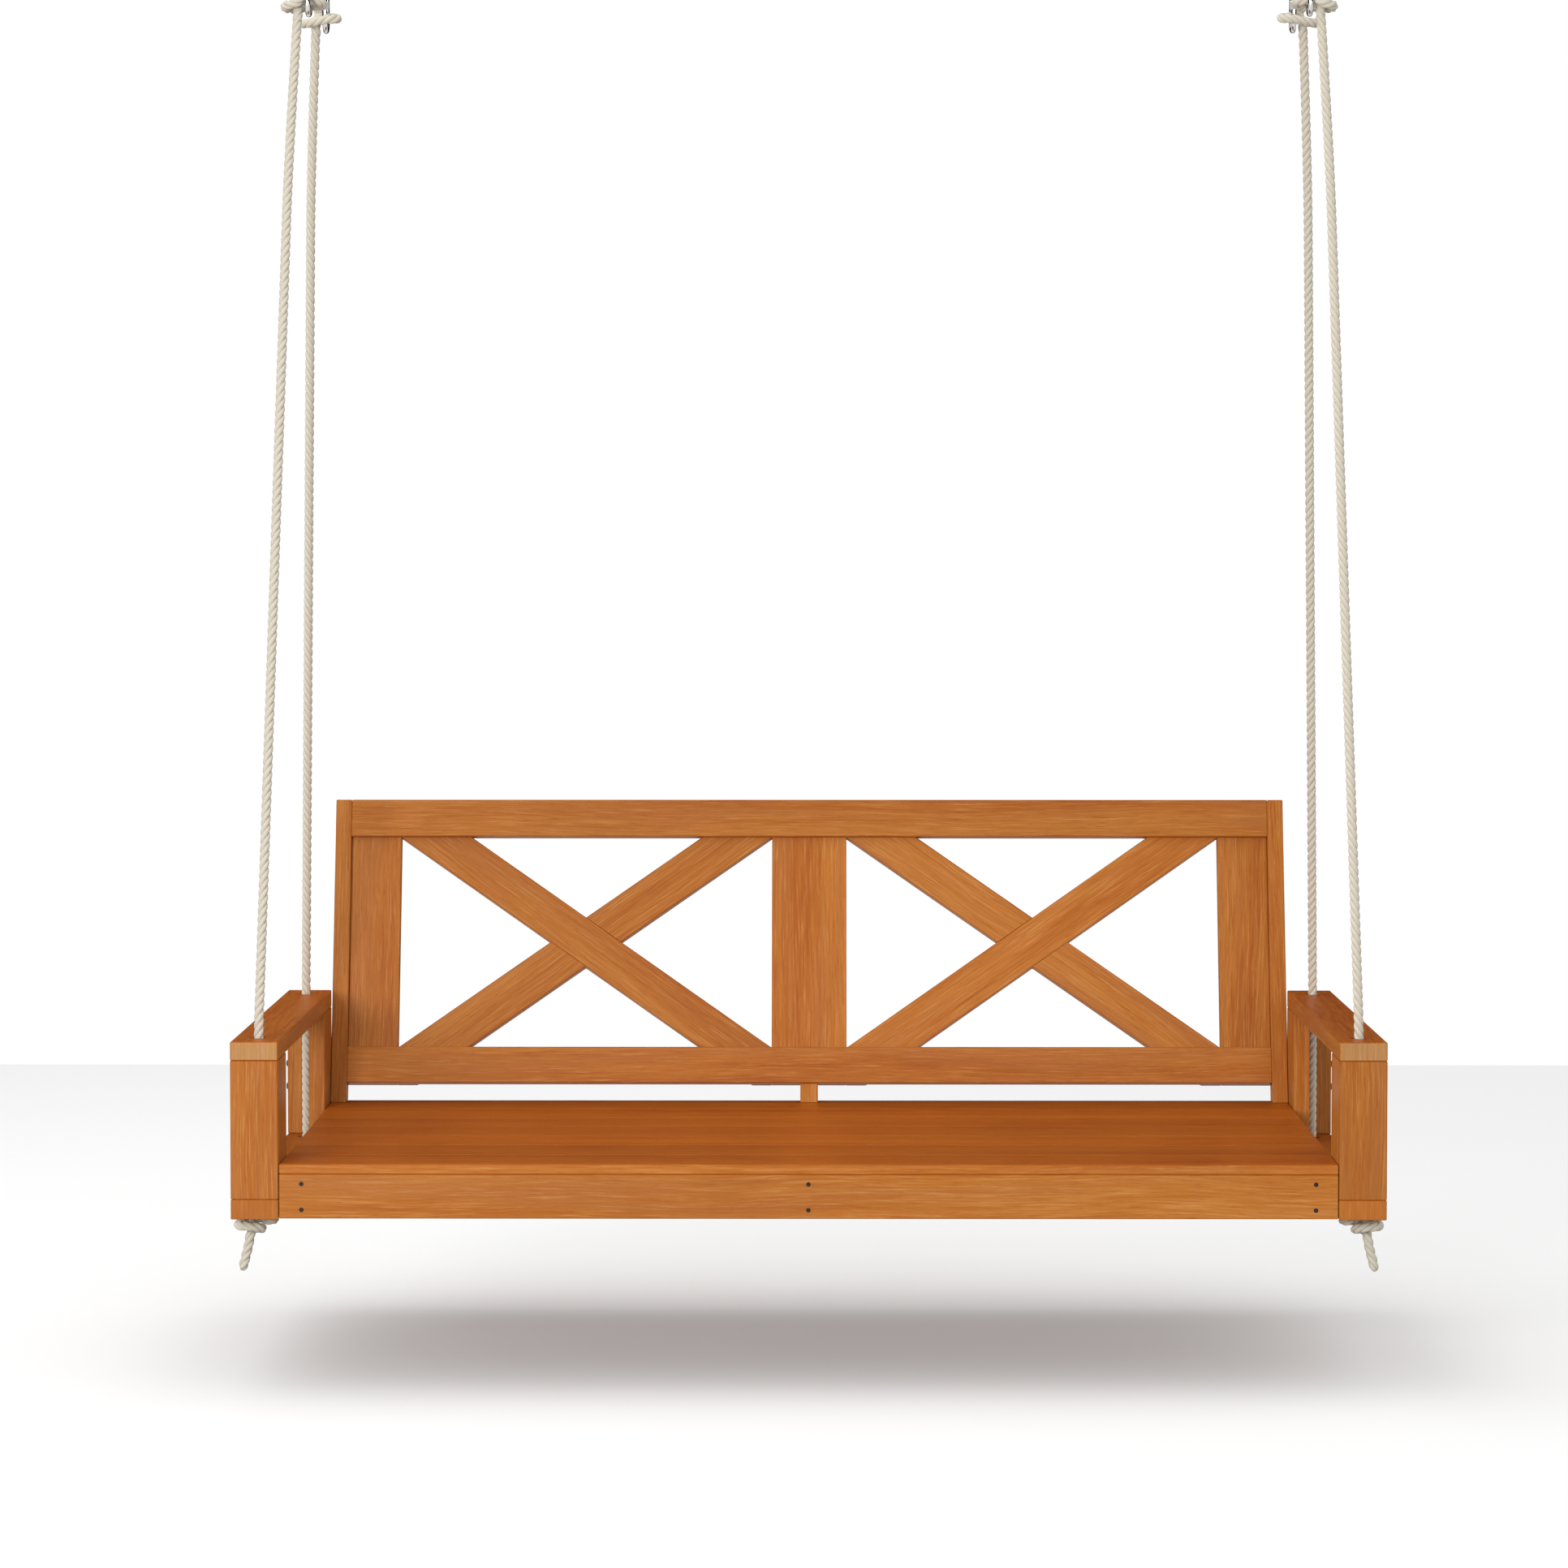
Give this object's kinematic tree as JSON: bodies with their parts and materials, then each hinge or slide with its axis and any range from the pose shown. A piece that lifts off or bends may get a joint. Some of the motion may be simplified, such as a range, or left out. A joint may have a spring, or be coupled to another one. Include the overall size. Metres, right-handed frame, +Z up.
{
  "type": "porch swing",
  "caption": "A wooden porch swing bench with boxed arms and a reclined crossed-brace back, hung from a ceiling on four ropes",
  "frame": {"origin": "on the ceiling plane, at the centre of the rectangle of four eye bolts that the swing hangs from", "axes": "X runs across the bench, +X to the right as seen from in front of it; -Y is the front, where a sitter's legs hang; +Z is up"},
  "size_m": [1.6048, 0.9318, 1.9367],
  "materials": {
    "wood": "oiled hardwood boards, warm amber brown, fine straight grain, satin",
    "seat_wood": "oiled hardwood planks, deeper and redder amber, satin",
    "rope": "three-strand twisted cotton rope, cream",
    "chrome": "polished plated steel",
    "black_screws": "black coated steel, satin"
  },
  "bodies": {
    "hangers": {"eye_bolts": "chrome"},
    "front_ropes": {"rope_front_left": "rope", "rope_front_right": "rope", "hitches_front": "rope", "links_front": "chrome"},
    "bench": {"apron_front": "wood", "apron_rear": "wood", "apron_screws": "black_screws", "arm_board_left": "wood", "arm_board_right": "wood", "arm_sill_left": "wood", "arm_sill_right": "wood", "back_post_left": "wood", "back_post_right": "wood", "back_rail_bottom": "wood", "back_rail_top": "wood", "back_screws": "black_screws", "back_stile_centre": "wood", "back_stile_left": "wood", "back_stile_right": "wood", "back_support": "wood", "bearer_centre": "wood", "bearer_left": "wood", "bearer_right": "wood", "brace_fore_left": "wood", "brace_fore_right": "wood", "brace_lapped_left": "wood", "brace_lapped_right": "wood", "plank_screws": "black_screws", "post_face_front_left": "wood", "post_face_front_right": "wood", "post_face_rear_left": "wood", "post_face_rear_right": "wood", "post_side_front_left": "wood", "post_side_front_right": "wood", "post_side_rear_left": "wood", "post_side_rear_right": "wood", "rope_leg_front_left": "rope", "rope_leg_front_right": "rope", "rope_leg_rear_left": "rope", "rope_leg_rear_right": "rope", "seat_plank_1": "seat_wood", "seat_plank_2": "seat_wood", "seat_plank_3": "seat_wood", "seat_plank_4": "seat_wood", "seat_plank_5": "seat_wood", "seat_plank_6": "seat_wood", "seat_plank_7": "seat_wood", "side_screws": "black_screws", "sill_screws": "black_screws", "stopper_knots_front": "rope", "stopper_knots_rear": "rope"},
    "rear_ropes": {"rope_rear_left": "rope", "rope_rear_right": "rope", "hitches_rear": "rope", "links_rear": "chrome"},
    "nut_front_left": {"link_nut_front_left": "chrome"},
    "nut_front_right": {"link_nut_front_right": "chrome"},
    "nut_rear_left": {"link_nut_rear_left": "chrome"},
    "nut_rear_right": {"link_nut_rear_right": "chrome"}
  },
  "joints": [
    {"name": "swing", "type": "hinge", "parent": "hangers", "child": "front_ropes", "pos_m": [0, -0.124, -0.047], "axis": [1, 0, 0], "range_deg": [-12, 12]},
    {"name": "bench_tilt", "type": "hinge", "parent": "front_ropes", "child": "bench", "pos_m": [0, -0.342, -1.559], "axis": [1, 0, 0], "range_deg": [-4.5, 4.5]},
    {"name": "rear_swing", "type": "hinge", "parent": "bench", "child": "rear_ropes", "pos_m": [0, 0.342, -1.559], "axis": [1, 0, 0], "range_deg": [-4.5, 4.5]},
    {"name": "nut_slide_front_left", "type": "slide", "parent": "front_ropes", "child": "nut_front_left", "axis": [0, 0.1427, 0.9898], "range_m": [0, 0.0096]},
    {"name": "nut_slide_front_right", "type": "slide", "parent": "front_ropes", "child": "nut_front_right", "axis": [0, 0.1427, 0.9898], "range_m": [0, 0.0096]},
    {"name": "nut_slide_rear_left", "type": "slide", "parent": "rear_ropes", "child": "nut_rear_left", "axis": [0, -0.1427, 0.9898], "range_m": [0, 0.0096]},
    {"name": "nut_slide_rear_right", "type": "slide", "parent": "rear_ropes", "child": "nut_rear_right", "axis": [0, -0.1427, 0.9898], "range_m": [0, 0.0096]}
  ],
  "couplings": [
    {"joint": "bench_tilt", "follows": "swing", "ratio": -0.362},
    {"joint": "rear_swing", "follows": "swing", "ratio": 0.362}
  ]
}
